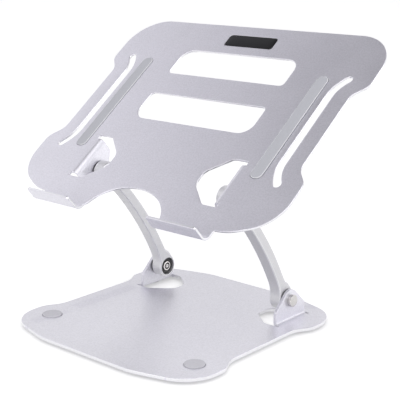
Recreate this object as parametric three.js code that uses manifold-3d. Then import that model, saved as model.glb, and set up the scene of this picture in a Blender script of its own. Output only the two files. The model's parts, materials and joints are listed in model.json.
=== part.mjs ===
// A folding laptop stand: a waisted base plate, two curved arms on friction pivots, and a ventilated tray
// with two front hooks. Millimetres, +Z up, hooks towards -Y. The origin is on the floor, in the middle of
// the whole stand's footprint, and X = 0 is its plane of symmetry.
import * as THREE from "three";
import { mergeVertices } from "three/addons/utils/BufferGeometryUtils.js";
import Module from "manifold-3d";

const wasm = await Module();
wasm.setup();

// Sheet metal. The base is cut from thicker sheet than the tray, and both are bent to one outside radius.
const BASE_SHEET = 3;
const TRAY_SHEET = 2;
const BEND_OUTSIDE = 5;
const NEUTRAL_LAYER = 0.44;

// Tray: overall size, then the bands that lie one inside another from its edge inwards.
const TRAY_WIDTH = 280;
const TRAY_DEPTH = 215.5;
const TRAY_TILT = THREE.MathUtils.degToRad(36.7);
const TRAY_WAIST_INSET = 11;
const TRAY_RAIL = 14.6;
const SLOT_WIDTH = 6.6;
const SLOT_FLARE = 7.4;
const SLOT_TO_STRIP = 6.2;
const STRIP_WIDTH = 11;
const STRIP_TO_BEND = 10.4;
const FRONT_LOBE = 57;
const REAR_LOBE = 55.5;
const LOBE_SLOPE = 12;
const SLOT_SWEEP = 20;
const SLOT_INTO_LOBE = 5;
const FLAP_FROM_FRONT = 44;
const VENT_FRONT = 94;
const VENT_REAR_MARGIN = 35;
const VENT_BAR = 25.2;
const VENT_TO_BEND = 17;
const VENT_CORNER = 12;
const VENT_BAR_CORNER = 4;
const ARCH_HALF_WIDTH = 40.5;
const ARCH_HEIGHT = 29.5;
const ARCH_MIDDLE = -8;
const TRAY_NOSE_INSET = 36;
const TRAY_NOSE_RADIUS = 44;
const TRAY_CORNER_RISE = 17;
const TRAY_FRONT_CORNER = 36;
const TRAY_REAR_CORNER = 35;
const LOBE_RADIUS = 12;

// Front hooks.
const HOOK_OUTER_INSET = 47;
const HOOK_TO_ARCH = 2;
const HOOK_SHELF = 5;
const HOOK_BEND = 6;
const HOOK_HEIGHT = 16.5;
const HOOK_LEAN = THREE.MathUtils.degToRad(3);
const HOOK_CORNER = 3;
const HOOK_RELIEF = 1.5;

// Rubber and badge on the tray, each in a shallow recess.
const RECESS_DEPTH = 1;
const RECESS_GAP = 0.3;
const STRIP_PROUD = 0.8;
const STRIP_FROM_FLAP = 9;
const STRIP_REAR_MARGIN = 50.5;
const STRIP_ROUNDNESS = 0.46;
const BADGE_LENGTH = 52;
const BADGE_WIDTH = 13.4;
const BADGE_CORNER = 2.2;
const BADGE_PROUD = 0.2;
const BADGE_FROM_REAR = 18.4;

// Base plate.
const BASE_DEPTH = 211;
const BASE_RAIL = 15.3;
const BASE_EAR = 8.2;
const EAR_LENGTH = 49.5;
const EAR_SLOPE = 14;
const EAR_RADIUS = 16;
const BASE_WAIST_RADIUS = 22;
const BASE_CORNER_RADIUS = 33;
const BASE_CORNER_RISE = 14.5;
const BASE_NOSE_RADIUS = 60;
const BASE_NOSE_INSET = 53.7;
const BRACKET_FROM_REAR = 46.2;

// Flaps cut from the plates and bent square: they carry the pivots. Heights are from the plate's far face.
const FLAP_HALF_WIDTH = 20;
const FLAP_SHOULDER = 13.5;
const FLAP_TOP_RADIUS = 9.3;
const PIVOT_RISE = 19.5;
const FLAP_SHOULDER_RADIUS = 2;
const BASE_KERF = 1.8;
const TRAY_KERF = 3.8;
const BASE_TIP_KERF = 2.5;
const TRAY_TIP_KERF = 1.6;
const TIP_HALF_WIDTH = 7;
const WINDOW_SHOULDER_LEAD = 3.2;
const WINDOW_SHOULDER_RADIUS = 6;
const WINDOW_TIP_RADIUS = 9;
const NOTCH = 1.6;
const NOTCH_RADIUS = 0.6;

// Arms.
const ARM_LENGTH = 122.9;
const ARM_ANGLE = THREE.MathUtils.degToRad(125.2);
const ARM_THICKNESS = 11.5;
const ARM_HALF_DEPTH = 4.4;
const ARM_BOW = 6.65;
const KNUCKLE_WALL = 1.7;
const ARM_EDGE = 0.8;
const FLARE_START = 0.82;
const FLARE_LENGTH = 13;
const FLARE_RUN = 4;
const FLARE_FULLNESS = 2.2;
const SHOULDER_LENGTH = 11.5;
const SHOULDER_FLAT = 5.5;
const SHOULDER_REACH = 12.4;
const SHOULDER_RUN = 1.8;
const SHOULDER_RISE = 1.2;

// Pivot hardware, outwards from the bolt's axis.
const BOLT_RADIUS = 3;
const BOLT_END_RADIUS = 1.9;
const BOLT_HEAD_RADIUS = 5.2;
const BOLT_HEAD_HEIGHT = 3.2;
const BOLT_STANDS_OUT = 0.7;
const RUNNING_GAP = 0.3;
const THREAD_GAP = 0.15;
const NUT_RADIUS = 4.4;
const NUT_HEIGHT = 4.2;
const NUT_SUNK = 0.8;
const SPRING_WIDTH = 3;
const SPRING_HEIGHT = 3.4;
const WASHER_THICKNESS = 1;
const WASHER_RADIUS = 8.8;
const CHAMFER = 0.5;

// Feet and bumpers.
const FOOT_RADIUS = 8.3;
const FOOT_HEIGHT = 2.5;
const BUMPER_PROUD = 1.2;
const BUMPER_RECESS = 0.8;
const FRONT_FOOT_INSET = 22.6;
const FRONT_FOOT_FROM_EDGE = 39.3;
const REAR_FOOT_INSET = 12.4;

// Positions that follow from the sizes above; across the stand everything is measured from the tray's edge.
const trayWaist = TRAY_WIDTH / 2 - TRAY_WAIST_INSET;
const slotX = trayWaist - TRAY_RAIL - SLOT_WIDTH / 2;
const stripX = slotX - SLOT_WIDTH / 2 - SLOT_TO_STRIP - STRIP_WIDTH / 2;
const bendX = stripX - STRIP_WIDTH / 2 - STRIP_TO_BEND;
const flapInnerX = bendX - BEND_OUTSIDE;
const armOuterX = flapInnerX - WASHER_THICKNESS;
const armInnerX = armOuterX - ARM_THICKNESS;
const baseWaist = bendX + BASE_RAIL;
const baseHalfWidth = baseWaist + BASE_EAR;
const baseTop = FOOT_HEIGHT + BASE_SHEET;
const counterboreRadius = NUT_RADIUS + SPRING_WIDTH + 2 * RUNNING_GAP;
const knuckleRadius = counterboreRadius + KNUCKLE_WALL;
const counterboreDepth = NUT_HEIGHT + NUT_SUNK;
const counterboreX = armInnerX + counterboreDepth;
const hookOuterX = TRAY_WIDTH / 2 - HOOK_OUTER_INSET;
const hookInnerX = ARCH_HALF_WIDTH + HOOK_TO_ARCH;
const stripFront = FLAP_FROM_FRONT + STRIP_FROM_FLAP;
const stripRear = TRAY_DEPTH - STRIP_REAR_MARGIN;

// The stand is centred front to back: the base's front edge to the tray's lowest rear corner.
const bracketFromMiddle = BASE_DEPTH / 2 - BRACKET_FROM_REAR;
const upperFromLower = ARM_LENGTH * Math.cos(ARM_ANGLE);
const trayRearFromUpper =
  (TRAY_DEPTH - FLAP_FROM_FRONT) * Math.cos(TRAY_TILT) - (PIVOT_RISE - TRAY_SHEET) * Math.sin(TRAY_TILT);
const rearmost = bracketFromMiddle + upperFromLower + trayRearFromUpper;
const baseY = -(rearmost - BASE_DEPTH / 2) / 2;
const lowerPivotY = baseY + bracketFromMiddle;
const lowerPivotZ = FOOT_HEIGHT + PIVOT_RISE;
const upperPivotY = lowerPivotY + upperFromLower;
const upperPivotZ = lowerPivotZ + ARM_LENGTH * Math.sin(ARM_ANGLE);

// Round outlines are drawn with chords that leave the true arc by no more than this.
const CHORD_SAG = 0.03;
const ROUND_FACETS = 28;
const ARCH_FACETS = 14;

const satin = new THREE.MeshStandardMaterial({ color: 0xcfcfd6, roughness: 0.45, metalness: 0.85 });
const polished = new THREE.MeshStandardMaterial({ color: 0xd8d5d2, roughness: 0.2, metalness: 1 });
const blackRing = new THREE.MeshStandardMaterial({ color: 0x26262a, roughness: 0.35, metalness: 0.2 });
const blackMatt = new THREE.MeshStandardMaterial({ color: 0x141416, roughness: 0.6, metalness: 0 });
const greyRubber = new THREE.MeshStandardMaterial({ color: 0xb4b4b8, roughness: 0.8, metalness: 0 });
const nylon = new THREE.MeshStandardMaterial({ color: 0x1c1c1f, roughness: 0.5, metalness: 0 });
const badgeBlack = new THREE.MeshStandardMaterial({ color: 0x101012, roughness: 0.3, metalness: 0 });

// Outline with rounded corners: each vertex is [x, y, radius], and a radius of 0 keeps the corner sharp.
function roundedOutline(vertices) {
  const outline = [];
  vertices.forEach(([x, y, radius], i) => {
    const corner = new THREE.Vector2(x, y);
    if (radius === 0) {
      outline.push(corner);
      return;
    }
    const [beforeX, beforeY] = vertices.at(i - 1);
    const [afterX, afterY] = vertices[(i + 1) % vertices.length];
    const toBefore = new THREE.Vector2(beforeX - x, beforeY - y).normalize();
    const toAfter = new THREE.Vector2(afterX - x, afterY - y).normalize();
    const half = Math.acos(toBefore.dot(toAfter)) / 2;
    const inward = toBefore.clone().add(toAfter).normalize();
    const centre = corner.clone().addScaledVector(inward, radius / Math.sin(half));
    const start = corner.clone().addScaledVector(toBefore, radius / Math.tan(half)).sub(centre);
    const turn = Math.PI - 2 * half;
    const sense = Math.sign(toAfter.cross(toBefore));
    const facetTurn = 2 * Math.acos(1 - Math.min(CHORD_SAG / radius, 0.02));
    const steps = Math.max(1, Math.round(turn / facetTurn));
    for (let k = 0; k <= steps; k++) {
      const turned = start.clone().rotateAround(new THREE.Vector2(), (sense * turn * k) / steps);
      outline.push(turned.add(centre));
    }
  });
  return outline;
}

// The right half of an outline, front to rear, continued by its mirror image.
function mirrored(rightHalf) {
  const leftHalf = rightHalf.map(([x, y, radius]) => [-x, y, radius]);
  return [...rightHalf, ...leftHalf.reverse()];
}

function circle(x, y, radius) {
  const points = [];
  for (let k = 0; k < ROUND_FACETS; k++) {
    const angle = (2 * Math.PI * k) / ROUND_FACETS;
    points.push(new THREE.Vector2(x + radius * Math.cos(angle), y + radius * Math.sin(angle)));
  }
  return points;
}

// A flat piece: its outline and holes, extruded along +Z from 0.
function slab(outline, holes, depth, bevel = 0) {
  const shape = new THREE.Shape(outline);
  shape.holes = holes.map((hole) => new THREE.Path(hole));
  return new THREE.ExtrudeGeometry(shape, {
    depth: depth - 2 * bevel,
    bevelEnabled: bevel > 0,
    bevelThickness: bevel,
    bevelSize: bevel,
    bevelOffset: -bevel,
    bevelSegments: 1,
  }).translate(0, 0, bevel);
}

function solidOf(geometry) {
  const bare = geometry.clone();
  bare.deleteAttribute("normal");
  bare.deleteAttribute("uv");
  const merged = mergeVertices(bare, 1e-4);
  const mesh = new wasm.Mesh({
    numProp: 3,
    vertProperties: new Float32Array(merged.attributes.position.array),
    triVerts: new Uint32Array(merged.index.array),
  });
  return new wasm.Manifold(mesh);
}

function geometryOf(solid) {
  const { vertProperties, triVerts } = solid.getMesh();
  const geometry = new THREE.BufferGeometry();
  geometry.setAttribute("position", new THREE.BufferAttribute(vertProperties, 3));
  geometry.setIndex(new THREE.BufferAttribute(triVerts, 1));
  const faceted = geometry.toNonIndexed();
  faceted.computeVertexNormals();
  return faceted;
}

function mesh(name, geometry, material) {
  const piece = new THREE.Mesh(geometry, material);
  piece.name = name;
  return piece;
}

// How far from the bend line a point of a flap lay when its sheet was flat.
function flatLength(sheet, height) {
  const alongBend = (Math.PI / 2) * (BEND_OUTSIDE - sheet + NEUTRAL_LAYER * sheet);
  return alongBend + height - BEND_OUTSIDE;
}

// Window left in a plate where a flap was cut free. u runs inwards from the bend line, w along it; the
// notches at both ends of the bend run a little past the bend line so that the metal doesn't tear.
function flapWindow(side, y, sheet, kerf, tipKerf) {
  const end = FLAP_HALF_WIDTH + kerf;
  const tip = flatLength(sheet, PIVOT_RISE + FLAP_TOP_RADIUS) + tipKerf;
  const shoulder = flatLength(sheet, FLAP_SHOULDER) + tipKerf - WINDOW_SHOULDER_LEAD;
  const upper = [
    [0, FLAP_HALF_WIDTH, 0],
    [-NOTCH, FLAP_HALF_WIDTH, 0],
    [-NOTCH, end, NOTCH_RADIUS],
    [shoulder, end, WINDOW_SHOULDER_RADIUS],
    [tip, TIP_HALF_WIDTH, WINDOW_TIP_RADIUS],
  ];
  const lower = upper.map(([u, w, radius]) => [u, -w, radius]).reverse();
  return roundedOutline([...upper, ...lower].map(([u, w, radius]) => [side * (bendX - u), y + w, radius]));
}

// A flap bent square out of a plate, in a frame of its own: u inwards from the bend line, v away from the
// plate's far face, w along the bend. Its side view meets the circle about the bolt hole.
function bentFlap(sheet) {
  const arc = (radius, count) =>
    Array.from({ length: count + 1 }, (_, k) => {
      const angle = (k / count - 1) * (Math.PI / 2);
      return new THREE.Vector2(radius * Math.cos(angle), BEND_OUTSIDE + radius * Math.sin(angle));
    });
  const top = PIVOT_RISE + FLAP_TOP_RADIUS + 5;
  const bendInside = BEND_OUTSIDE - sheet;
  const section = [
    new THREE.Vector2(-1, 0),
    ...arc(BEND_OUTSIDE, 8),
    new THREE.Vector2(BEND_OUTSIDE, top),
    new THREE.Vector2(bendInside, top),
    ...arc(bendInside, 6).reverse(),
    new THREE.Vector2(-1, sheet),
  ];
  const bent = slab(section, [], 2 * FLAP_HALF_WIDTH).translate(0, 0, -FLAP_HALF_WIDTH);
  const rise = PIVOT_RISE - FLAP_SHOULDER;
  const toShoulder = Math.hypot(rise, FLAP_HALF_WIDTH);
  const slope = Math.atan2(rise, FLAP_HALF_WIDTH) + Math.asin(FLAP_TOP_RADIUS / toShoulder);
  const apex = FLAP_SHOULDER + FLAP_HALF_WIDTH * Math.tan(slope);
  const sideView = roundedOutline([
    [-FLAP_HALF_WIDTH - 1, -1, 0],
    [-FLAP_HALF_WIDTH - 1, BEND_OUTSIDE, 0],
    [-FLAP_HALF_WIDTH, BEND_OUTSIDE, 0],
    [-FLAP_HALF_WIDTH, FLAP_SHOULDER, FLAP_SHOULDER_RADIUS],
    [0, apex, FLAP_TOP_RADIUS],
    [FLAP_HALF_WIDTH, FLAP_SHOULDER, FLAP_SHOULDER_RADIUS],
    [FLAP_HALF_WIDTH, BEND_OUTSIDE, 0],
    [FLAP_HALF_WIDTH + 1, BEND_OUTSIDE, 0],
    [FLAP_HALF_WIDTH + 1, -1, 0],
  ]);
  const boltHole = circle(0, PIVOT_RISE, BOLT_RADIUS + RUNNING_GAP);
  const across = slab(sideView, [boltHole], 20);
  across.applyMatrix4(
    new THREE.Matrix4().makeBasis(
      new THREE.Vector3(0, 0, 1),
      new THREE.Vector3(0, 1, 0),
      new THREE.Vector3(-1, 0, 0),
    ),
  );
  across.translate(12, 0, 0);
  return solidOf(bent).intersect(solidOf(across));
}

// The same flap set into a plate whose far face is at z = 0: lift is +1 for one bent up, -1 for one bent down.
function placedFlap(side, lift, y, sheet) {
  const u = new THREE.Vector3(-side, 0, 0);
  const v = new THREE.Vector3(0, 0, lift);
  const w = new THREE.Vector3().crossVectors(u, v);
  const place = new THREE.Matrix4().makeBasis(u, v, w).setPosition(side * bendX, y, 0);
  return solidOf(geometryOf(bentFlap(sheet)).applyMatrix4(place));
}

function basePlate() {
  const front = BASE_DEPTH / 2;
  const noseX = baseHalfWidth - BASE_NOSE_INSET;
  const rearHalf = [
    [baseWaist, front - EAR_LENGTH - EAR_SLOPE, BASE_WAIST_RADIUS],
    [baseHalfWidth, front - EAR_LENGTH, EAR_RADIUS],
    [baseHalfWidth, front - BASE_CORNER_RISE, BASE_CORNER_RADIUS],
    [noseX, front, BASE_NOSE_RADIUS],
  ];
  const frontHalf = rearHalf.map(([x, y, radius]) => [x, -y, radius]).reverse();
  const outline = mirrored([...frontHalf, ...rearHalf]);
  const windows = [1, -1].map((side) =>
    flapWindow(side, bracketFromMiddle, BASE_SHEET, BASE_KERF, BASE_TIP_KERF),
  );
  let plate = solidOf(slab(roundedOutline(outline), windows, BASE_SHEET));
  for (const side of [1, -1]) {
    plate = plate.add(placedFlap(side, 1, bracketFromMiddle, BASE_SHEET));
    const pocket = circle(side * bumperX(), frontFootY(), FOOT_RADIUS + RECESS_GAP);
    plate = plate.subtract(solidOf(slab(pocket, [], 5).translate(0, 0, BASE_SHEET - BUMPER_RECESS)));
  }
  const piece = mesh("base_plate", geometryOf(plate), satin);
  piece.position.set(0, baseY, FOOT_HEIGHT);
  return piece;
}

function bumperX() {
  return baseHalfWidth - FRONT_FOOT_INSET;
}

function frontFootY() {
  return FRONT_FOOT_FROM_EDGE - BASE_DEPTH / 2;
}

// A turned piece about the Y axis: profile points are [radius, height], from the axis out and back.
function turned(name, profile, material) {
  const points = profile.map(([radius, height]) => new THREE.Vector2(radius, height));
  return mesh(name, new THREE.LatheGeometry(points, ROUND_FACETS), material);
}

function feetAndBumpers() {
  const pieces = [];
  for (const [side, hand] of [[1, "right"], [-1, "left"]]) {
    const bumper = turned(
      `bumper_${hand}`,
      [
        [0, 0],
        [FOOT_RADIUS, 0],
        [FOOT_RADIUS, BUMPER_RECESS + BUMPER_PROUD - CHAMFER],
        [FOOT_RADIUS - CHAMFER, BUMPER_RECESS + BUMPER_PROUD],
        [0, BUMPER_RECESS + BUMPER_PROUD],
      ],
      greyRubber,
    );
    bumper.rotation.x = Math.PI / 2;
    bumper.position.set(side * bumperX(), baseY + frontFootY(), baseTop - BUMPER_RECESS);
    pieces.push(bumper);
    const spots = [
      ["front", bumperX(), frontFootY()],
      ["rear", baseHalfWidth - REAR_FOOT_INSET, -frontFootY()],
    ];
    for (const [end, x, y] of spots) {
      const foot = turned(
        `foot_${end}_${hand}`,
        [
          [0, 0],
          [FOOT_RADIUS - CHAMFER, 0],
          [FOOT_RADIUS, CHAMFER],
          [FOOT_RADIUS, FOOT_HEIGHT],
          [0, FOOT_HEIGHT],
        ],
        greyRubber,
      );
      foot.rotation.x = Math.PI / 2;
      foot.position.set(side * x, baseY + y, 0);
      pieces.push(foot);
    }
  }
  return pieces;
}

// Side view of an arm, y from the lower pivot to the upper one. It bows towards -z, and each end swells
// into a round knuckle: a smooth flare on the hollow side, a small shoulder on the bowed side.
function armOutline() {
  const middle = ARM_LENGTH / 2;
  const centreLine = (y) => -ARM_BOW * (1 - ((y - middle) / middle) ** 2);
  const shape = new THREE.Shape();
  const flareStart = knuckleRadius * FLARE_START;
  const flareAngle = Math.acos(FLARE_START);
  const flareEnd = flareStart + FLARE_LENGTH;
  const shoulderEnd = flareStart + SHOULDER_LENGTH;
  const alongArm = (from, to, offset) => {
    for (let k = 1; k <= 10; k++) {
      const y = from + ((to - from) * k) / 10;
      shape.lineTo(y, centreLine(y) + offset);
    }
  };
  shape.moveTo(flareStart, knuckleRadius * Math.sin(flareAngle));
  shape.quadraticCurveTo(
    flareStart + FLARE_RUN,
    FLARE_FULLNESS,
    flareEnd,
    centreLine(flareEnd) + ARM_HALF_DEPTH,
  );
  alongArm(flareEnd, ARM_LENGTH - flareEnd, ARM_HALF_DEPTH);
  shape.quadraticCurveTo(
    ARM_LENGTH - flareStart - FLARE_RUN,
    FLARE_FULLNESS,
    ARM_LENGTH - flareStart,
    knuckleRadius * Math.sin(flareAngle),
  );
  shape.absarc(ARM_LENGTH, 0, knuckleRadius, Math.PI - flareAngle, -Math.PI / 2, true);
  const nose = SHOULDER_REACH;
  const noseZ = SHOULDER_RISE - knuckleRadius;
  const shoulderZ = centreLine(shoulderEnd) - ARM_HALF_DEPTH;
  shape.lineTo(ARM_LENGTH - SHOULDER_FLAT, -knuckleRadius);
  shape.quadraticCurveTo(ARM_LENGTH - nose + SHOULDER_RUN, -knuckleRadius, ARM_LENGTH - nose, noseZ);
  shape.quadraticCurveTo(
    ARM_LENGTH - nose - SHOULDER_RUN,
    noseZ + SHOULDER_RISE,
    ARM_LENGTH - shoulderEnd,
    shoulderZ,
  );
  alongArm(ARM_LENGTH - shoulderEnd, shoulderEnd, -ARM_HALF_DEPTH);
  shape.quadraticCurveTo(nose + SHOULDER_RUN, noseZ + SHOULDER_RISE, nose, noseZ);
  shape.quadraticCurveTo(nose - SHOULDER_RUN, -knuckleRadius, SHOULDER_FLAT, -knuckleRadius);
  shape.lineTo(0, -knuckleRadius);
  shape.absarc(0, 0, knuckleRadius, -Math.PI / 2, -2 * Math.PI + flareAngle, true);
  const outline = shape.getPoints(6);
  return outline.filter((point, i) => point.distanceTo(outline.at(i - 1)) > 0.01).reverse();
}

function arm(side, hand) {
  const acrossToX = new THREE.Matrix4().makeBasis(
    new THREE.Vector3(0, 1, 0),
    new THREE.Vector3(0, 0, 1),
    new THREE.Vector3(1, 0, 0),
  );
  const blank = slab(armOutline(), [], ARM_THICKNESS, ARM_EDGE).applyMatrix4(acrossToX);
  const inner = side > 0 ? armInnerX : -armOuterX;
  let body = solidOf(blank.translate(inner, 0, 0));
  for (const y of [0, ARM_LENGTH]) {
    const bore = slab(circle(y, 0, BOLT_RADIUS + RUNNING_GAP), [], ARM_THICKNESS + 2);
    body = body.subtract(solidOf(bore.applyMatrix4(acrossToX).translate(inner - 1, 0, 0)));
    const counterbore = slab(circle(y, 0, counterboreRadius), [], counterboreDepth + 1);
    const mouth = side > 0 ? armInnerX - 1 : -counterboreX;
    body = body.subtract(solidOf(counterbore.applyMatrix4(acrossToX).translate(mouth, 0, 0)));
  }
  const piece = mesh(`arm_${hand}`, geometryOf(body), satin);
  piece.position.set(0, lowerPivotY, lowerPivotZ);
  piece.rotation.x = ARM_ANGLE;
  return piece;
}

// One friction pivot. Heights along the bolt are distances from the stand's middle plane, outwards.
function pivot(end, side, hand, y, z, sheet) {
  const flapOuterX = flapInnerX + sheet;
  const headTop = flapOuterX + BOLT_HEAD_HEIGHT;
  const boltEnd = armInnerX + BOLT_STANDS_OUT;
  const nutFace = counterboreX - NUT_HEIGHT;
  const threadStart = counterboreX + 1;
  const nutBore = BOLT_RADIUS + THREAD_GAP;
  const insertBore = BOLT_END_RADIUS + THREAD_GAP;
  const springBore = NUT_RADIUS + RUNNING_GAP;
  const springRim = springBore + SPRING_WIDTH;
  const pieces = [
    turned(
      `bolt_${end}_${hand}`,
      [
        [0, boltEnd],
        [BOLT_END_RADIUS - CHAMFER, boltEnd],
        [BOLT_END_RADIUS, boltEnd + CHAMFER],
        [BOLT_END_RADIUS, threadStart],
        [BOLT_RADIUS, threadStart],
        [BOLT_RADIUS, flapOuterX],
        [BOLT_HEAD_RADIUS, flapOuterX],
        [BOLT_HEAD_RADIUS, headTop - CHAMFER],
        [BOLT_HEAD_RADIUS - CHAMFER, headTop],
        [0, headTop],
      ],
      polished,
    ),
    turned(
      `friction_washer_${end}_${hand}`,
      [
        [BOLT_RADIUS + RUNNING_GAP, armOuterX],
        [WASHER_RADIUS, armOuterX],
        [WASHER_RADIUS, flapInnerX],
        [BOLT_RADIUS + RUNNING_GAP, flapInnerX],
        [BOLT_RADIUS + RUNNING_GAP, armOuterX],
      ],
      blackMatt,
    ),
    turned(
      `spring_ring_${end}_${hand}`,
      [
        [springBore, counterboreX - SPRING_HEIGHT],
        [springRim - CHAMFER, counterboreX - SPRING_HEIGHT],
        [springRim, counterboreX - SPRING_HEIGHT + CHAMFER],
        [springRim, counterboreX],
        [springBore, counterboreX],
        [springBore, counterboreX - SPRING_HEIGHT],
      ],
      blackRing,
    ),
    turned(
      `lock_nut_${end}_${hand}`,
      [
        [nutBore, nutFace],
        [NUT_RADIUS - CHAMFER, nutFace],
        [NUT_RADIUS, nutFace + CHAMFER],
        [NUT_RADIUS, counterboreX],
        [nutBore, counterboreX],
        [nutBore, nutFace],
      ],
      polished,
    ),
    turned(
      `nut_insert_${end}_${hand}`,
      [
        [insertBore, nutFace + CHAMFER],
        [BOLT_RADIUS, nutFace + CHAMFER],
        [BOLT_RADIUS, counterboreX],
        [insertBore, counterboreX],
        [insertBore, nutFace + CHAMFER],
      ],
      nylon,
    ),
  ];
  for (const piece of pieces) {
    piece.rotation.z = (-side * Math.PI) / 2;
    piece.position.set(0, y, z);
  }
  return pieces;
}

// Long slot beside the tray's waist: straight, with both ends sweeping outwards to follow the edge.
function slotOutline(side) {
  const start = FRONT_LOBE - SLOT_INTO_LOBE;
  const end = TRAY_DEPTH - REAR_LOBE + SLOT_INTO_LOBE;
  const half = SLOT_WIDTH / 2;
  const sweep = (distance) => SLOT_FLARE * Math.max(0, 1 - distance / SLOT_SWEEP) ** 2;
  const stops = [];
  for (let k = 0; k < 5; k++) {
    stops.push((SLOT_SWEEP * k) / 5);
  }
  const ys = [...stops.map((d) => start + d), start + SLOT_SWEEP, end - SLOT_SWEEP];
  ys.push(...stops.map((d) => end - d).reverse());
  const line = ys.map((y) => new THREE.Vector2(slotX + sweep(y - start) + sweep(end - y), y));
  const outerEdge = [];
  const innerEdge = [];
  line.forEach((point, i) => {
    const ahead = line[Math.min(i + 1, line.length - 1)];
    const behind = line[Math.max(i - 1, 0)];
    const direction = ahead.clone().sub(behind).normalize();
    const across = new THREE.Vector2(direction.y, -direction.x).multiplyScalar(half);
    outerEdge.push(point.clone().add(across));
    innerEdge.push(point.clone().sub(across));
  });
  const cap = (centre, from) => {
    const points = [];
    for (let k = 1; k < 7; k++) {
      const spoke = from.clone().sub(centre).rotateAround(new THREE.Vector2(), (Math.PI * k) / 7);
      points.push(spoke.add(centre));
    }
    return points;
  };
  const outline = [
    ...outerEdge,
    ...cap(line.at(-1), outerEdge.at(-1)),
    ...innerEdge.reverse(),
    ...cap(line[0], innerEdge.at(-1)),
  ];
  return outline.map((point) => new THREE.Vector2(side * point.x, point.y));
}

// Two wide vents, one behind the other, with their rounder corners on the sides that face apart.
function ventOutlines() {
  const halfWidth = bendX - VENT_TO_BEND;
  const rear = TRAY_DEPTH - VENT_REAR_MARGIN;
  const length = (rear - VENT_FRONT - VENT_BAR) / 2;
  const vent = (front, frontCorner, rearCorner) =>
    roundedOutline([
      [halfWidth, front, frontCorner],
      [halfWidth, front + length, rearCorner],
      [-halfWidth, front + length, rearCorner],
      [-halfWidth, front, frontCorner],
    ]);
  return [vent(VENT_FRONT, VENT_CORNER, VENT_BAR_CORNER), vent(rear - length, VENT_BAR_CORNER, VENT_CORNER)];
}

function archPoints() {
  const points = [];
  for (let k = 1; k <= ARCH_FACETS; k++) {
    const angle = (Math.PI * (k - 0.5)) / (2 * ARCH_FACETS - 1);
    points.push([ARCH_HALF_WIDTH * Math.sin(angle), ARCH_MIDDLE + ARCH_HEIGHT * Math.cos(angle), 0]);
  }
  return points.filter(([, y]) => y > 1 - HOOK_SHELF);
}

function trayOutline() {
  const half = TRAY_WIDTH / 2;
  const rearLobe = TRAY_DEPTH - REAR_LOBE;
  return roundedOutline(
    mirrored([
      ...archPoints(),
      [hookInnerX, -HOOK_SHELF, 0],
      [hookOuterX, -HOOK_SHELF, 0],
      [hookOuterX, 0, HOOK_RELIEF],
      [half - TRAY_NOSE_INSET, 0, TRAY_NOSE_RADIUS],
      [half, TRAY_CORNER_RISE, TRAY_FRONT_CORNER],
      [half, FRONT_LOBE, LOBE_RADIUS],
      [trayWaist, FRONT_LOBE + LOBE_SLOPE, LOBE_RADIUS],
      [trayWaist, rearLobe - LOBE_SLOPE, LOBE_RADIUS],
      [half, rearLobe, LOBE_RADIUS],
      [half, TRAY_DEPTH, TRAY_REAR_CORNER],
    ]),
  );
}

// A hook: the plate's front tab bent up past square, so that its lip leans forwards. The section is drawn
// in (y, z) with the plate's top face at z = 0, and the lip's top corners are rounded afterwards.
function hook(side) {
  const turn = Math.PI / 2 - HOOK_LEAN;
  const arc = (radius, count) =>
    Array.from({ length: count + 1 }, (_, k) => {
      const angle = -Math.PI / 2 - (turn * k) / count;
      return new THREE.Vector2(
        radius * Math.cos(angle) - HOOK_SHELF,
        HOOK_BEND + radius * Math.sin(angle),
      );
    });
  const outerArc = arc(HOOK_BEND + TRAY_SHEET, 10);
  const innerArc = arc(HOOK_BEND, 8);
  const lipTop = (point) => {
    const drop = point === outerArc.at(-1) ? TRAY_SHEET * Math.sin(HOOK_LEAN) : 0;
    const rise = HOOK_HEIGHT - point.y - drop;
    return new THREE.Vector2(point.x - rise * Math.tan(HOOK_LEAN), point.y + rise);
  };
  const section = [
    new THREE.Vector2(1 - HOOK_SHELF, -TRAY_SHEET),
    new THREE.Vector2(1 - HOOK_SHELF, 0),
    ...innerArc,
    lipTop(innerArc.at(-1)),
    lipTop(outerArc.at(-1)),
    ...outerArc.reverse(),
  ];
  const width = hookOuterX - hookInnerX;
  const alongX = new THREE.Matrix4().makeBasis(
    new THREE.Vector3(0, 1, 0),
    new THREE.Vector3(0, 0, 1),
    new THREE.Vector3(1, 0, 0),
  );
  const inner = side > 0 ? hookInnerX : -hookOuterX;
  const blank = slab(section, [], width).applyMatrix4(alongX).translate(inner, 0, 0);
  const frontView = roundedOutline([
    [inner, -TRAY_SHEET - 1, 0],
    [inner + width, -TRAY_SHEET - 1, 0],
    [inner + width, HOOK_HEIGHT, HOOK_CORNER],
    [inner, HOOK_HEIGHT, HOOK_CORNER],
  ]);
  const upright = new THREE.Matrix4().makeRotationX(Math.PI / 2);
  const rounding = slab(frontView, [], 40).applyMatrix4(upright).translate(0, 10, 0);
  return solidOf(blank).intersect(solidOf(rounding));
}

// Rounded bar outline centred at (x, y).
function barOutline(x, y, width, length, corner) {
  return roundedOutline([
    [x - width / 2, y - length / 2, corner],
    [x + width / 2, y - length / 2, corner],
    [x + width / 2, y + length / 2, corner],
    [x - width / 2, y + length / 2, corner],
  ]);
}

function stripOutline(side, grow) {
  const width = STRIP_WIDTH + 2 * grow;
  const length = stripRear - stripFront + 2 * grow;
  const middle = (stripFront + stripRear) / 2;
  return barOutline(side * stripX, middle, width, length, width * STRIP_ROUNDNESS);
}

function badgeOutline(grow) {
  const y = TRAY_DEPTH - BADGE_FROM_REAR;
  return barOutline(0, y, BADGE_LENGTH + 2 * grow, BADGE_WIDTH + 2 * grow, BADGE_CORNER + grow);
}

// Tray pieces are built with y from the tray's front edge and z from its top face, then moved so that the
// upper pivots lie on the group's X axis.
function toPivotFrame(geometry) {
  return geometry.translate(0, -FLAP_FROM_FRONT, PIVOT_RISE);
}

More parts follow.
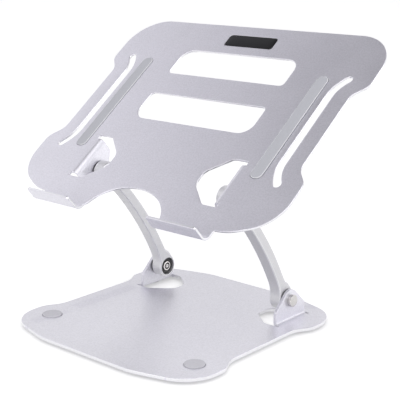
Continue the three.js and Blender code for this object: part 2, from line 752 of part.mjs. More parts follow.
function trayPlate() {
  const holes = [
    slotOutline(1),
    slotOutline(-1),
    flapWindow(1, FLAP_FROM_FRONT, TRAY_SHEET, TRAY_KERF, TRAY_TIP_KERF),
    flapWindow(-1, FLAP_FROM_FRONT, TRAY_SHEET, TRAY_KERF, TRAY_TIP_KERF),
    ...ventOutlines(),
  ];
  let plate = solidOf(slab(trayOutline(), holes, TRAY_SHEET).translate(0, 0, -TRAY_SHEET));
  const recesses = [stripOutline(1, RECESS_GAP), stripOutline(-1, RECESS_GAP), badgeOutline(RECESS_GAP)];
  for (const recess of recesses) {
    plate = plate.subtract(solidOf(slab(recess, [], 5).translate(0, 0, -RECESS_DEPTH)));
  }
  for (const side of [1, -1]) {
    plate = plate.add(placedFlap(side, -1, FLAP_FROM_FRONT, TRAY_SHEET));
    plate = plate.add(hook(side));
  }
  return mesh("tray_plate", toPivotFrame(geometryOf(plate)), satin);
}

function gripStrip(side, hand) {
  const bottom = RECESS_GAP - RECESS_DEPTH;
  const blank = slab(stripOutline(side, 0), [], STRIP_PROUD - bottom, 0.3).translate(0, 0, bottom);
  return mesh(`grip_strip_${hand}`, toPivotFrame(blank), greyRubber);
}

function badge() {
  const bottom = RECESS_GAP - RECESS_DEPTH;
  const blank = slab(badgeOutline(0), [], BADGE_PROUD - bottom).translate(0, 0, bottom);
  return mesh("badge", toPivotFrame(blank), badgeBlack);
}

const tray = new THREE.Group();
tray.add(trayPlate(), gripStrip(1, "right"), gripStrip(-1, "left"), badge());
tray.position.set(0, upperPivotY, upperPivotZ);
tray.rotation.x = TRAY_TILT;

const group = new THREE.Group();
group.add(basePlate(), ...feetAndBumpers(), arm(1, "right"), arm(-1, "left"), tray);
for (const [side, hand] of [[1, "right"], [-1, "left"]]) {
  group.add(...pivot("lower", side, hand, lowerPivotY, lowerPivotZ, BASE_SHEET));
  group.add(...pivot("upper", side, hand, upperPivotY, upperPivotZ, TRAY_SHEET));
}

export default group;
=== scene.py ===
"""A folding aluminium laptop stand: a waisted base plate, two curved arms on friction pivots, a vented tray.

Metres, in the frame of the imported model: +Z up, the tray's hooks towards -Y, X = 0 in the middle. The sheet
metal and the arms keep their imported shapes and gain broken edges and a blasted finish. The turned hardware,
the rubber and the badge are new surfaces in their packed places.
"""
import json
import math

import bmesh
import bpy
import numpy as np
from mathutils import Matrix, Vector


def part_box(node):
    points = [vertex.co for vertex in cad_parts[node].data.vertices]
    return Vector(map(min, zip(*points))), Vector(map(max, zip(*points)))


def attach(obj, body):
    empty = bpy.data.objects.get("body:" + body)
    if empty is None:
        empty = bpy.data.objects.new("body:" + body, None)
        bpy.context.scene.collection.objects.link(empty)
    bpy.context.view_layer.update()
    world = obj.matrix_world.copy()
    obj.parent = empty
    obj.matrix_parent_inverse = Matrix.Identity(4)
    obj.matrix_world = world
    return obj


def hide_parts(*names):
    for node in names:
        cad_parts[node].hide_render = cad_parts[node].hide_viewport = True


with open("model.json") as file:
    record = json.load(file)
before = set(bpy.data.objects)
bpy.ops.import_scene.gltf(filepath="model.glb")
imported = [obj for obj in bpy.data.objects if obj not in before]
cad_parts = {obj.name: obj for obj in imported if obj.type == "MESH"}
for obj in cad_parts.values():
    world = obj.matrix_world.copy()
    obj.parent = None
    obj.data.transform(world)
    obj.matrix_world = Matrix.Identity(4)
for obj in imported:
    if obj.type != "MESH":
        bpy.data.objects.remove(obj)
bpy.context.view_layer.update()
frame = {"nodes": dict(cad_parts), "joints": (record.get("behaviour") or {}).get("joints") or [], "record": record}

scene = bpy.context.scene
scene.view_settings.view_transform = "Standard"


# Camera: a long lens a little above the tray, from the front right, so that hooks, arms and base all show.
lens = bpy.data.cameras.new("camera")
lens.sensor_width = 36
lens.lens = 94.256
lens.clip_start = 0.05
camera = bpy.data.objects.new("camera", lens)
camera.location = (0.56832, -0.62219, 0.32331)
camera.rotation_euler = (math.radians(75.557), 0, math.radians(41.168))
scene.collection.objects.link(camera)
scene.camera = camera


# Paper sweep: white paper lies under the stand, runs on behind it and curves up to the wall. It shows white
# to the camera and in the metal, and its own matt part still takes the stand's shadow. Its glow is also dimmed
# close to the stand by an ambient occlusion test, which paints a contact shadow there.
PAPER_GREY = 0.5
PAPER_GLOW = 0.7
PAPER_IN_METAL = 0.95
PAINTED_SHADOW_REACH = 0.012
PAINTED_SHADOW_DEPTH = 0.5
PAPER_REACH = 8.0
PAPER_CURVE = 1.5
PAPER_TOP = 2.5


def add_node(tree, kind, **settings):
    """A shader node with its properties set; its sockets are set by name afterwards."""
    made = tree.nodes.new(kind)
    for key, value in settings.items():
        setattr(made, key, value)
    return made


def in_view(tree, in_metal):
    """1 for rays from the camera, in_metal for rays that metal or glass sends out, 0 for all other light."""
    path = add_node(tree, "ShaderNodeLightPath")
    seen = path.outputs["Is Camera Ray"]
    for ray in ("Is Glossy Ray", "Is Transmission Ray"):
        share = add_node(tree, "ShaderNodeMath", operation="MULTIPLY")
        share.inputs[1].default_value = in_metal
        tree.links.new(path.outputs[ray], share.inputs[0])
        larger = add_node(tree, "ShaderNodeMath", operation="MAXIMUM")
        tree.links.new(seen, larger.inputs[0])
        tree.links.new(share.outputs[0], larger.inputs[1])
        seen = larger.outputs[0]
    return seen


def grid_mesh(name, points, round_u=False, round_v=False):
    """Quads between the neighbours of points[u, v]. round_u or round_v joins the last row or column to the
    first. Points that fall together, as at a pole, are made one, and the faces are turned outwards."""
    rows, columns, _ = points.shape
    index = np.arange(rows * columns).reshape(rows, columns)
    if round_u:
        index = np.concatenate([index, index[:1]], axis=0)
    if round_v:
        index = np.concatenate([index, index[:, :1]], axis=1)
    quads = np.stack([index[:-1, :-1], index[1:, :-1], index[1:, 1:], index[:-1, 1:]], axis=-1)
    mesh = bpy.data.meshes.new(name)
    mesh.from_pydata(points.reshape(-1, 3), [], quads.reshape(-1, 4).tolist())
    work = bmesh.new()
    work.from_mesh(mesh)
    bmesh.ops.remove_doubles(work, verts=work.verts, dist=1e-7)
    bmesh.ops.recalc_face_normals(work, faces=work.faces)
    work.to_mesh(mesh)
    work.free()
    return mesh


def sweep_points():
    """A section that runs flat towards +Y, turns up through a quarter circle and ends upright, carried
    along X."""
    turn = np.linspace(0, math.pi / 2, 32)
    back = PAPER_REACH - PAPER_CURVE
    y = np.concatenate([[-PAPER_REACH], back + PAPER_CURVE * np.sin(turn), [PAPER_REACH]])
    z = np.concatenate([[0], PAPER_CURVE * (1 - np.cos(turn)), [PAPER_TOP]])
    section = np.stack([np.zeros_like(y), y, z], axis=-1)
    across = np.array([[-PAPER_REACH, 0, 0], [PAPER_REACH, 0, 0]])
    return section[:, None, :] + across[None, :, :]


white_paper = bpy.data.materials.new("white_paper")
white_paper.use_nodes = True
tree = white_paper.node_tree
tree.nodes.clear()
matt = add_node(tree, "ShaderNodeBsdfDiffuse")
matt.inputs["Color"].default_value = (PAPER_GREY, PAPER_GREY, PAPER_GREY, 1)
glow = add_node(tree, "ShaderNodeEmission")
# Painted contact shadow: ambient occlusion within a short reach of the stand dims the paper's glow.
painted_shadow_test = add_node(tree, "ShaderNodeAmbientOcclusion", samples=8)
painted_shadow_test.inputs["Distance"].default_value = PAINTED_SHADOW_REACH
glow_with_painted_shadow = add_node(tree, "ShaderNodeMapRange")
glow_with_painted_shadow.inputs["To Min"].default_value = PAPER_GLOW * (1 - PAINTED_SHADOW_DEPTH)
glow_with_painted_shadow.inputs["To Max"].default_value = PAPER_GLOW
tree.links.new(painted_shadow_test.outputs["AO"], glow_with_painted_shadow.inputs["Value"])
level = add_node(tree, "ShaderNodeMath", operation="MULTIPLY")
tree.links.new(in_view(tree, PAPER_IN_METAL), level.inputs[0])
tree.links.new(glow_with_painted_shadow.outputs[0], level.inputs[1])
tree.links.new(level.outputs[0], glow.inputs["Strength"])
both = add_node(tree, "ShaderNodeAddShader")
tree.links.new(matt.outputs[0], both.inputs[0])
tree.links.new(glow.outputs[0], both.inputs[1])
surface = add_node(tree, "ShaderNodeOutputMaterial")
tree.links.new(both.outputs[0], surface.inputs["Surface"])

paper = bpy.data.objects.new("paper_sweep", grid_mesh("paper_sweep", sweep_points()))
paper.data.materials.append(white_paper)
scene.collection.objects.link(paper)


# Room: pale walls, lightest above head height, under a dark ceiling with a faint violet cast. Each row gives
# the sine of the elevation, the level there and the colour. The camera sees the room white.
WALL_WHITE = (1, 1, 1)
CEILING_CAST = (0.93, 0.91, 1)
ROOM_PEAK = 1.3
ROOM_LEVELS = (
    (0.36, 0.79, WALL_WHITE),
    (0.6, 1.3, WALL_WHITE),
    (0.7, 1.2, CEILING_CAST),
    (0.79, 0.3, CEILING_CAST),
    (0.87, 0.06, CEILING_CAST),
)

room = bpy.data.worlds.new("room")
scene.world = room
room.use_nodes = True
tree = room.node_tree
tree.nodes.clear()
looking = add_node(tree, "ShaderNodeTexCoord")
parts = add_node(tree, "ShaderNodeSeparateXYZ")
tree.links.new(looking.outputs["Generated"], parts.inputs[0])
levels = add_node(tree, "ShaderNodeValToRGB")
tree.links.new(parts.outputs["Z"], levels.inputs[0])
rows = levels.color_ramp.elements
while len(rows) < len(ROOM_LEVELS):
    rows.new(1)
for row, (height, strength, colour) in zip(rows, ROOM_LEVELS):
    row.position = height
    row.color = (*[strength / ROOM_PEAK * share for share in colour], 1)
walls = add_node(tree, "ShaderNodeBackground")
walls.inputs["Strength"].default_value = ROOM_PEAK
tree.links.new(levels.outputs["Color"], walls.inputs["Color"])
white = add_node(tree, "ShaderNodeBackground")
white.inputs["Color"].default_value = (1, 1, 1, 1)
path = add_node(tree, "ShaderNodeLightPath")
pick = add_node(tree, "ShaderNodeMixShader")
tree.links.new(path.outputs["Is Camera Ray"], pick.inputs[0])
tree.links.new(walls.outputs[0], pick.inputs[1])
tree.links.new(white.outputs[0], pick.inputs[2])
surface = add_node(tree, "ShaderNodeOutputWorld")
tree.links.new(pick.outputs[0], surface.inputs["Surface"])


# Lamps: three soft boxes, one overhead, one low on the right behind the stand and one low in front of it.
def soft_box(name, place, aim, width, height, power):
    """A rectangular lamp at place, turned to face aim."""
    light = bpy.data.lights.new(name, "AREA")
    light.shape = "RECTANGLE"
    light.size = width
    light.size_y = height
    light.energy = power
    lamp = bpy.data.objects.new(name, light)
    lamp.location = place
    lamp.rotation_euler = (Vector(aim) - Vector(place)).to_track_quat("-Z", "Y").to_euler()
    scene.collection.objects.link(lamp)


soft_box("top_box", (0.5, -0.5, 1.3), (0, 0, 0.05), width=0.9, height=0.9, power=7)
soft_box("right_box", (1.2, 1.0, 0.3), (0.08, 0.05, 0.05), width=1.0, height=0.5, power=2.8)
soft_box("front_box", (-0.2, -1.7, 0.3), (0, 0, 0.08), width=0.8, height=0.5, power=4)


# Base plate: one 3 mm aluminium sheet cut to a waisted outline, with two brackets bent up square out of it.
# It is blasted and clear anodised, with an even silky grain and a faint violet cast. Its cut rims are smoother
# bare metal in a lighter colour, and that lighter colour is partly a painted highlight.
# The bends are given a rougher finish, so that no hard line of light runs along them.
BASE_SHEET = 0.003
BEND_OUTSIDE = 0.005
EDGE_BREAK = 0.0004
ALUMINIUM_COLOUR = (0.765, 0.757, 0.81)
NOISE_LOW = 0.3
NOISE_HIGH = 0.7
CLUMP = 4
DRIFT_SIZE = 0.04


def grain(tree, size, detail):
    """Noise over the piece's own coordinates, in clumps about size metres across, from 0 to 1."""
    place = add_node(tree, "ShaderNodeTexCoord")
    noise = add_node(tree, "ShaderNodeTexNoise")
    noise.inputs["Scale"].default_value = 1 / size
    noise.inputs["Detail"].default_value = detail
    tree.links.new(place.outputs["Object"], noise.inputs["Vector"])
    return noise.outputs["Fac"]


def between(tree, value, low, high):
    """value's usual span, from NOISE_LOW to NOISE_HIGH, stretched to run from low to high."""
    span = add_node(tree, "ShaderNodeMapRange")
    span.inputs["From Min"].default_value = NOISE_LOW
    span.inputs["From Max"].default_value = NOISE_HIGH
    span.inputs["To Min"].default_value = low
    span.inputs["To Max"].default_value = high
    tree.links.new(value, span.inputs["Value"])
    return span.outputs["Result"]


def shade(tree, value, colour, contrast):
    """colour, darkened where value is low and lightened where it is high by the share contrast."""
    mix = add_node(tree, "ShaderNodeMix", data_type="RGBA")
    mix.inputs["A"].default_value = (*[c * (1 - contrast) for c in colour], 1)
    mix.inputs["B"].default_value = (*[min(1, c * (1 + contrast)) for c in colour], 1)
    tree.links.new(between(tree, value, 0, 1), mix.inputs["Factor"])
    return mix.outputs["Result"]


def finish(
    name, colour, metallic, roughness, grain_size, contrast=0.03, uneven=0.03, relief=0.00001, gloss=0.5
):
    """A surface with a fine grain that stands up by relief metres, with clumps of grain CLUMP times as wide
    that shade the colour by contrast, and with a roughness that drifts by uneven over some centimetres."""
    made = bpy.data.materials.new(name)
    made.use_nodes = True
    tree = made.node_tree
    shader = tree.nodes["Principled BSDF"]
    shader.inputs["Metallic"].default_value = metallic
    shader.inputs["Specular IOR Level"].default_value = gloss
    fine = grain(tree, grain_size, 3)
    clumps = grain(tree, grain_size * CLUMP, 2)
    broad = grain(tree, DRIFT_SIZE, 4)
    tree.links.new(shade(tree, clumps, colour, contrast), shader.inputs["Base Color"])
    drift = between(tree, broad, roughness - uneven, roughness + uneven)
    tree.links.new(drift, shader.inputs["Roughness"])
    bump = add_node(tree, "ShaderNodeBump")
    bump.inputs["Distance"].default_value = relief
    tree.links.new(fine, bump.inputs["Height"])
    tree.links.new(bump.outputs["Normal"], shader.inputs["Normal"])
    return made


blasted = finish("satin_aluminium", ALUMINIUM_COLOUR, 0.85, 0.38, 0.0003, contrast=0.06)
# Cut rims and broken edges: smoother bare aluminium, in a lighter colour that partly paints a highlight on them.
bright_rim = finish("bright_rim", (0.81, 0.81, 0.83), 1, 0.3, 0.0003, relief=0.000004)
bend_satin = finish("bend_satin", ALUMINIUM_COLOUR, 0.85, 0.52, 0.0003, contrast=0.06)
metal = (blasted, bright_rim, bend_satin)
FACE = 0
RIM = 1
BEND = 2


def show(name, mesh, materials, body, node):
    """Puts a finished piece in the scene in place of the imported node, riding on its body."""
    for material in materials:
        mesh.materials.append(material)
    piece = bpy.data.objects.new(name, mesh)
    scene.collection.objects.link(piece)
    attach(piece, body)
    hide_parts(node)
    return piece


def read(mesh_items, key):
    """One vector for each item of a mesh, as an array."""
    values = np.empty(len(mesh_items) * 3)
    mesh_items.foreach_get(key, values)
    return values.reshape(-1, 3)


def smooth(mesh):
    """Shades every face of the mesh as part of one surface."""
    mesh.polygons.foreach_set("use_smooth", np.ones(len(mesh.polygons), dtype=bool))


TILE = 0.0119
SAME_CORNER = 0.00001
SAME_PLANE = math.radians(0.5)


def merged_copy(node, along=None, nearest=0.000001, shortest=SAME_CORNER):
    """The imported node's loose triangles joined at their corners, with each flat area made whole faces. A
    plate with cut-outs is then cut across X and along into tiles, which leaves no face with a hole. A cut
    passes through a corner that lies within nearest of it, and edges under shortest are closed up. Where that
    leaves a wall without thickness, its one open face is taken away."""
    work = bmesh.new()
    work.from_mesh(frame["nodes"][node].data)
    bmesh.ops.remove_doubles(work, verts=work.verts, dist=SAME_CORNER)
    bmesh.ops.dissolve_limit(work, angle_limit=SAME_PLANE, verts=work.verts, edges=work.edges)
    corners = np.array([vertex.co for vertex in work.verts])
    directions = () if along is None else ((1, 0, 0), along)
    for direction in directions:
        distances = corners @ np.array(direction)
        for distance in np.arange(distances.min() + TILE / 2, distances.max(), TILE):
            everything = work.verts[:] + work.edges[:] + work.faces[:]
            place = Vector(direction) * distance
            bmesh.ops.bisect_plane(work, geom=everything, dist=nearest, plane_co=place, plane_no=direction)
    bmesh.ops.remove_doubles(work, verts=work.verts, dist=shortest)
    flaps = [face for face in work.faces if any(edge.is_boundary for edge in face.edges)]
    bmesh.ops.delete(work, geom=flaps, context="FACES")
    mesh = bpy.data.meshes.new(node + "_shaped")
    work.to_mesh(mesh)
    work.free()
    smooth(mesh)
    return mesh


SHARP = math.radians(30)
WALL_SHARE = 0.4


def wall_height(edge, face, sharp):
    """How far face runs from edge to another sharp edge, along the soft sides that leave edge's ends."""
    heights = [math.inf]
    for side in face.edges:
        meeting = set(side.verts) & set(edge.verts)
        if side in sharp or len(meeting) != 1:
            continue
        far = side.other_vert(meeting.pop())
        if sharp & set(far.link_edges) & set(face.edges):
            heights.append(side.calc_length())
    return min(heights)


def break_edges(piece, width, slot, rounds=2):
    """Rounds each sharp edge in the material of that slot, and keeps flat faces flat. On a low wall, such as
    a shallow recess's, the rounding shrinks to a share of the wall, so that its two edges never meet."""
    work = bmesh.new()
    work.from_mesh(piece.data)
    weight = work.edges.layers.float.new("bevel_weight_edge")
    sharp = {edge for edge in work.edges if edge.calc_face_angle(0) > SHARP}
    for edge in sharp:
        lowest = min(wall_height(edge, face, sharp) for face in edge.link_faces)
        edge[weight] = min(1, WALL_SHARE * lowest / width)
    work.to_mesh(piece.data)
    work.free()
    bevel = piece.modifiers.new("broken_edges", "BEVEL")
    bevel.width = width
    bevel.segments = rounds
    bevel.limit_method = "WEIGHT"
    bevel.use_clamp_overlap = False
    bevel.loop_slide = False
    bevel.material = slot
    flat = piece.modifiers.new("flat_faces", "WEIGHTED_NORMAL")
    flat.weight = 80


RIM_LEAN = 0.35
BEND_MARGIN = 0.0001


def finishes(mesh, origin, up, bend_x, bend_height):
    """Each face's finish: BEND round the bend axes, RIM on the plate's cut rims, which are square to up, and
    FACE elsewhere, which takes in the brackets past the bends."""
    axes = np.array([[1, 0, 0], up])
    x, height = ((read(mesh.polygons, "center") - origin) @ axes.T).T
    face_up = np.abs(read(mesh.polygons, "normal") @ np.array(up))
    from_axis = np.hypot(np.abs(x) - bend_x, height - bend_height)
    bracket = height * np.sign(bend_height) > abs(bend_height)
    bend = (from_axis < BEND_OUTSIDE + BEND_MARGIN) & (np.abs(x) < bend_x)
    plate = np.where(bend, BEND, np.where(face_up < RIM_LEAN, RIM, FACE))
    return np.where(bracket, FACE, plate)


_, washer_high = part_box("friction_washer_lower_right")
bend_x = washer_high.x + BEND_OUTSIDE
plate_low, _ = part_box("base_plate")
base_top = np.array([0, 0, plate_low.z + BASE_SHEET])
base_mesh = merged_copy("base_plate", (0, 1, 0), nearest=0.0003)
base_finishes = finishes(base_mesh, base_top, (0, 0, 1), bend_x, BEND_OUTSIDE - BASE_SHEET)
base_mesh.polygons.foreach_set("material_index", base_finishes.astype(int))
base_sheet = show("base_sheet", base_mesh, metal, "base", "base_plate")
break_edges(base_sheet, EDGE_BREAK, FACE)


# Tray: a sloped 2 mm sheet with vents and side slots cut out, two brackets bent down and two front hooks
# rolled up to hold the laptop.
TRAY_SHEET = 0.002
HOOK_ROLL = 0.0065
ALONG_LIP_AXIS = 0.9
ALONG_X = 0.5
BADGE_THICKNESS = 0.0009
BADGE_PROUD = 0.0002
mounts = {mount["name"]: mount for mount in frame["record"]["mounts"]}
hinges = {joint["name"]: joint for joint in frame["joints"]}
tray_up = np.array(mounts["laptop_rest_right"]["axis"])
tray_along = np.array([0, tray_up[2], -tray_up[1]])


def middle(node):
    """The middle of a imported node's box."""
    return np.mean([np.array(corner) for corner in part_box(node)], axis=0)


badge_centre = middle("badge")
tray_top = badge_centre + tray_up * (BADGE_THICKNESS / 2 - BADGE_PROUD)


def hook_rims(mesh, origin, along, up, lip, lip_axis):
    """Which faces lie on the two hooks, and which of those are cut rims. The sheet itself never faces along X
    round the roll, and faces along lip_axis above it, so faces that do otherwise are rims."""
    axes = np.array([along, up])
    distance, height = ((read(mesh.polygons, "center") - origin) @ axes.T).T
    lip_distance = (np.array(lip) - origin) @ np.array(along)
    direction = read(mesh.polygons, "normal")
    on_hook = distance < lip_distance + HOOK_ROLL
    lip_rim = np.abs(direction @ np.array(lip_axis)) < ALONG_LIP_AXIS
    roll_rim = np.abs(direction[:, 0]) > ALONG_X
    return on_hook, np.where(height > HOOK_ROLL, lip_rim, roll_rim)


tray_mesh = merged_copy("tray_plate", tray_along, shortest=0.00025)
tray_finishes = finishes(tray_mesh, tray_top, tray_up, bend_x, -BEND_OUTSIDE)
lip = mounts["hook_lip_right"]
on_hook, lip_rims = hook_rims(tray_mesh, tray_top, tray_along, tray_up, lip["pos_m"], lip["axis"])
tray_finishes = np.where(on_hook, np.where(lip_rims, RIM, FACE), tray_finishes)
tray_mesh.polygons.foreach_set("material_index", tray_finishes.astype(int))
tray_sheet = show("tray_sheet", tray_mesh, metal, "tray", "tray_plate")
break_edges(tray_sheet, EDGE_BREAK, FACE)


# Arms: forged and milled aluminium, bowed, with a round knuckle at each end that holds a pivot. The forging
# blasts a little darker and rougher than the rolled sheet.
ARM_EDGE_BREAK = 0.00025
forged = finish("forged_aluminium", (0.715, 0.713, 0.73), 0.5, 0.45, 0.0003)

for hand in ("right", "left"):
    node = "arm_" + hand
    arm = show(node + "_milled", merged_copy(node), (forged, bright_rim), node, node)
    # The arms' broken edges take the lighter rim aluminium, which paints a highlight along every edge.
    break_edges(arm, ARM_EDGE_BREAK, RIM)


# Pivot hardware: a polished steel bolt with a flat round head passes through a black friction washer and
# the arm. On the inside a bright plated lock nut with a nylon insert grips it, and a black spring ring fills
# the knuckle's recess. All of it is turned, so each piece is a section carried round the pivot.
polished = finish("polished_steel", (0.60, 0.585, 0.575), 1, 0.2, 0.0002, uneven=0.04, relief=0.000002)
plated = finish("plated_nut", (0.88, 0.85, 0.83), 1, 0.22, 0.0002, uneven=0.04, relief=0.000002)
ring_black = finish("spring_black", (0.016, 0.016, 0.018), 0, 0.32, 0.0004, contrast=0.2, relief=0.000006)
washer_black = finish("washer_black", (0.008, 0.008, 0.009), 0, 0.55, 0.0003, contrast=0.2)
nylon_black = finish("nylon_black", (0.01, 0.01, 0.011), 0, 0.5, 0.0003, contrast=0.2, gloss=0.3)
CURVE_POINTS = 6
LONGEST_REACH = 0.49
CREASE = math.radians(40)


def rounded(rows, closed):
    """A section with each corner replaced by a parabola. A row gives a corner's two coordinates and how far
    before and after it the parabola runs, which is at most the share LONGEST_REACH of the shorter side. An
    open section keeps its two ends."""
    rows = np.array(rows, dtype=float)
    corners = rows[:, :2]
    to_before = np.roll(corners, 1, axis=0) - corners
    to_after = np.roll(corners, -1, axis=0) - corners
    length_before = np.linalg.norm(to_before, axis=1)
    length_after = np.linalg.norm(to_after, axis=1)
    reach = np.minimum(rows[:, 2], LONGEST_REACH * np.minimum(length_before, length_after))
    start = corners + to_before * (reach / length_before)[:, None]
    end = corners + to_after * (reach / length_after)[:, None]
    t = np.linspace(0, 1, CURVE_POINTS)[None, :, None]
    curve = start[:, None] * (1 - t) ** 2 + corners[:, None] * 2 * t * (1 - t) + end[:, None] * t**2
    if closed:
        return curve.reshape(-1, 2)
    return np.concatenate([corners[:1], curve[1:-1].reshape(-1, 2), corners[-1:]])


def turned(name, section, axis_point, side, closed, facets=96):
    """The section, as distance along the axis and radius, carried round the X axis through axis_point."""
    turn = np.linspace(0, 2 * math.pi, facets, endpoint=False)
    along, radius = section.T
    x = np.broadcast_to(side * along[:, None], (len(section), facets))
    y = axis_point[1] + radius[:, None] * np.cos(turn)
    z = axis_point[2] + radius[:, None] * np.sin(turn)
    mesh = grid_mesh(name, np.stack([x, y, z], axis=-1), round_u=closed, round_v=True)
    smooth(mesh)
    mesh.set_sharp_from_angle(angle=CREASE)
    return mesh


BOLT_RADIUS = 0.003
THIN_END_RADIUS = 0.0019
HEAD_RADIUS = 0.0052
HEAD_ROUND = 0.0006
HEAD_DISH = 0.0001
DIMPLE_RADIUS = 0.0008
DIMPLE_DEPTH = 0.0003
THREAD_GAP = 0.00015
RUNNING_GAP = 0.0003
WASHER_RADIUS = 0.0088
WASHER_ROUND = 0.00025
NUT_RADIUS = 0.0044
NUT_CHAMFER = 0.0005
RING_RADIUS = 0.0077
RING_SLOPE = 0.0006
RING_INNER_SLOPE = 0.0009
RING_OUTER_SLOPE = 0.0007

for end, joint, outer_body, sheet in (
    ("lower", "fold", "base", BASE_SHEET), ("upper", "tray_tilt", "tray", TRAY_SHEET)
):
    axis_point = hinges[joint]["pos_m"]
    for hand, side in (("right", 1), ("left", -1)):
        spot = f"{end}_{hand}"
        arm_body = "arm_" + hand
        spans = {}
        for node in ("bolt", "friction_washer", "spring_ring", "lock_nut", "nut_insert"):
            low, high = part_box(f"{node}_{spot}")
            spans[node] = sorted((abs(low.x), abs(high.x)))
        tip, head_top = spans["bolt"]
        washer_in, washer_out = spans["friction_washer"]
        ring_in, ring_out = spans["spring_ring"]
        nut_face, recess = spans["lock_nut"]
        insert_in, insert_out = spans["nut_insert"]
        head = washer_out + sheet
        washer_bore = BOLT_RADIUS + RUNNING_GAP
        ring_bore = NUT_RADIUS + RUNNING_GAP
        nut_bore = BOLT_RADIUS + THREAD_GAP
        insert_bore = THIN_END_RADIUS + THREAD_GAP
        bolt_section = rounded(
            [
                (tip + DIMPLE_DEPTH, 0, 0),
                (tip, DIMPLE_RADIUS, 0.0002),
                (tip, THIN_END_RADIUS, 0.0004),
                (recess, THIN_END_RADIUS, 0),
                (recess, BOLT_RADIUS, 0),
                (head, BOLT_RADIUS, 0),
                (head, HEAD_RADIUS, 0.0002),
                (head_top, HEAD_RADIUS, HEAD_ROUND),
                (head_top - HEAD_DISH, 0, 0),
            ],
            closed=False,
        )
        washer_section = rounded(
            [
                (washer_in, washer_bore, WASHER_ROUND),
                (washer_in, WASHER_RADIUS, WASHER_ROUND),
                (washer_out, WASHER_RADIUS, WASHER_ROUND),
                (washer_out, washer_bore, WASHER_ROUND),
            ],
            closed=True,
        )
        ring_section = rounded(
            [
                (ring_in + RING_SLOPE, ring_bore, 0.0003),
                (ring_in, ring_bore + RING_INNER_SLOPE, 0.0005),
                (ring_in, RING_RADIUS - RING_OUTER_SLOPE, 0.0005),
                (ring_in + RING_SLOPE, RING_RADIUS, 0.0003),
                (ring_out, RING_RADIUS, 0.0001),
                (ring_out, ring_bore, 0.0001),
            ],
            closed=True,
        )
        nut_section = rounded(
            [
                (nut_face, nut_bore, 0.0002),
                (nut_face, NUT_RADIUS - NUT_CHAMFER, 0.0002),
                (nut_face + NUT_CHAMFER, NUT_RADIUS, 0.0002),
                (recess, NUT_RADIUS, 0),
                (recess, nut_bore, 0),
            ],
            closed=True,
        )
        insert_section = rounded(
            [
                (insert_in, insert_bore, 0.0002),
                (insert_in, BOLT_RADIUS, 0.0002),
                (insert_out, BOLT_RADIUS, 0),
                (insert_out, insert_bore, 0),
            ],
            closed=True,
        )
        for kind, node, section, closed, material, body, slot in (
            ("turned_bolt_", "bolt_", bolt_section, False, polished, outer_body, "polished_steel"),
            (
                "pivot_washer_", "friction_washer_", washer_section, True, washer_black, arm_body,
                "washer_black",
            ),
            ("coil_ring_", "spring_ring_", ring_section, True, ring_black, arm_body, "spring_black"),
            ("round_nut_", "lock_nut_", nut_section, True, plated, outer_body, "polished_steel"),
            ("nylon_collar_", "nut_insert_", insert_section, True, nylon_black, outer_body, "nylon_black"),
        ):
            mesh = turned(kind + spot, section, axis_point, side, closed)
            show(kind + spot, mesh, (material,), body, node + spot)


# Rubber: light grey silicone. Two long strips with rounded shoulders sit in shallow recesses in the tray, and two
# round bumpers and four round feet are glued to the base. The strips' rounded shoulders are coloured paler, a
# painted highlight round their rims.
strip_rubber = finish("strip_rubber", (0.455, 0.46, 0.495), 0, 0.6, 0.0002, contrast=0.04, relief=0.000012)
# Paler rubber for the strips' rounded shoulders: a painted highlight.
strip_edge = finish("strip_edge", (0.74, 0.74, 0.76), 0, 0.5, 0.0002, contrast=0.04, relief=0.000012)
foot_rubber = finish("foot_rubber", (0.54, 0.535, 0.57), 0, 0.6, 0.0002, contrast=0.04, relief=0.000012)


def pad(name, centre, across, along, up, half_width, half_length, corner, section):
    """A rounded pad. The section gives insets and heights. Each of its points makes a ring, the outline moved
    inwards by the inset and lifted to the height, whose corner radius is what is left of the outline's."""
    inset, height = section.T[:, :, None]
    turn = np.linspace(0, math.pi / 2, 10) + np.arange(4)[:, None] * math.pi / 2
    sign_x = np.array([1, -1, -1, 1])[:, None] + 0 * turn
    sign_y = np.array([1, 1, -1, -1])[:, None] + 0 * turn
    turn, sign_x, sign_y = turn.reshape(1, -1), sign_x.reshape(1, -1), sign_y.reshape(1, -1)
    radius = np.maximum(corner - inset, 0)
    x = sign_x * (half_width - inset - radius) + radius * np.cos(turn)
    y = sign_y * (half_length - inset - radius) + radius * np.sin(turn)
    points = (
        np.array(centre)
        + x[..., None] * np.array(across)
        + y[..., None] * np.array(along)
        + (height + 0 * x)[..., None] * np.array(up)
    )
    mesh = grid_mesh(name, points, round_v=True)
    smooth(mesh)
    mesh.set_sharp_from_angle(angle=CREASE)
    return mesh


def pad_section(half_width, thickness, under_round, top_round, crown=0):
    """Insets and heights from the middle of the underside, out to the rim and in to the middle of the top,
    which stands crown above the rim."""
    half = thickness / 2
    return rounded(
        [
            (half_width, -half, 0),
            (0, -half, under_round),
            (0, half - crown, top_round),
            (half_width, half, 0),
        ],
        closed=False,
    )


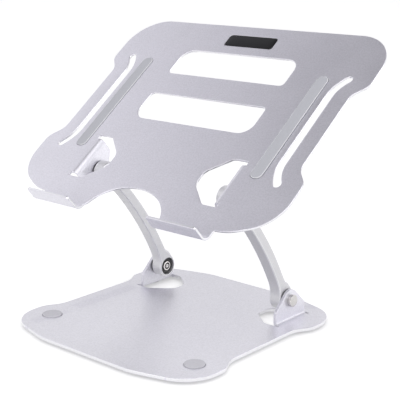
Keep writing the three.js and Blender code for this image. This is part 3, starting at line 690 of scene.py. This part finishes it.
UNDER_ROUND = 0.0001
STRIP_LENGTH = 0.112
STRIP_WIDTH = 0.011
STRIP_THICKNESS = 0.0015
STRIP_ROUNDNESS = 0.46
STRIP_CROWN = 0.00005
SHOULDER_ROUND = 0.0006
# Rises of the shoulder faces that take the strips' painted highlight.
HIGHLIGHT_RISE_LOW = 0.02
HIGHLIGHT_RISE_HIGH = 0.98
DISC_RADIUS = 0.0083
DISC_ROUNDS = 0.0008
BUMPER_TOP_ROUND = 0.0007
FOOT_TOP_ROUND = 0.0001

strip_section = pad_section(STRIP_WIDTH / 2, STRIP_THICKNESS, UNDER_ROUND, SHOULDER_ROUND, STRIP_CROWN)
for hand in ("right", "left"):
    node = "grip_strip_" + hand
    name = "rubber_strip_" + hand
    strip = pad(
        name, middle(node), (1, 0, 0), tray_along, tray_up, STRIP_WIDTH / 2, STRIP_LENGTH / 2,
        STRIP_WIDTH * STRIP_ROUNDNESS, strip_section,
    )
    # The rounded shoulder faces, between flat and upright, take the paler rubber: a painted highlight.
    rise = read(strip.polygons, "normal") @ tray_up
    highlight_faces = (rise > HIGHLIGHT_RISE_LOW) & (rise < HIGHLIGHT_RISE_HIGH)
    strip.polygons.foreach_set("material_index", highlight_faces.astype(int))
    show(name, strip, (strip_rubber, strip_edge), "tray", node)

for node in sorted(name for name in frame["nodes"] if name.startswith(("foot_", "bumper_"))):
    low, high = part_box(node)
    top_round = BUMPER_TOP_ROUND if node.startswith("bumper") else FOOT_TOP_ROUND
    disc_section = pad_section(DISC_RADIUS, high.z - low.z, DISC_ROUNDS - top_round, top_round)
    disc = pad(
        "rubber_" + node, middle(node), (1, 0, 0), (0, 1, 0), (0, 0, 1), DISC_RADIUS, DISC_RADIUS,
        DISC_RADIUS, disc_section,
    )
    show("rubber_" + node, disc, (foot_rubber,), "base", node)


# Badge: a bare glossy black plate set into the tray's rear rail.
BADGE_LENGTH = 0.052
BADGE_WIDTH = 0.0134
BADGE_CORNER = 0.003
BADGE_TOP_ROUND = 0.0003

badge_black = finish(
    "badge_black", (0.009, 0.009, 0.01), 0, 0.3, 0.0006, contrast=0.1, relief=0.000002, gloss=0.2
)
badge_section = pad_section(BADGE_WIDTH / 2, BADGE_THICKNESS, UNDER_ROUND, BADGE_TOP_ROUND)
badge = pad(
    "blank_badge", badge_centre, tray_along, (-1, 0, 0), tray_up, BADGE_WIDTH / 2, BADGE_LENGTH / 2,
    BADGE_CORNER, badge_section,
)
show("blank_badge", badge, (badge_black,), "tray", "badge")
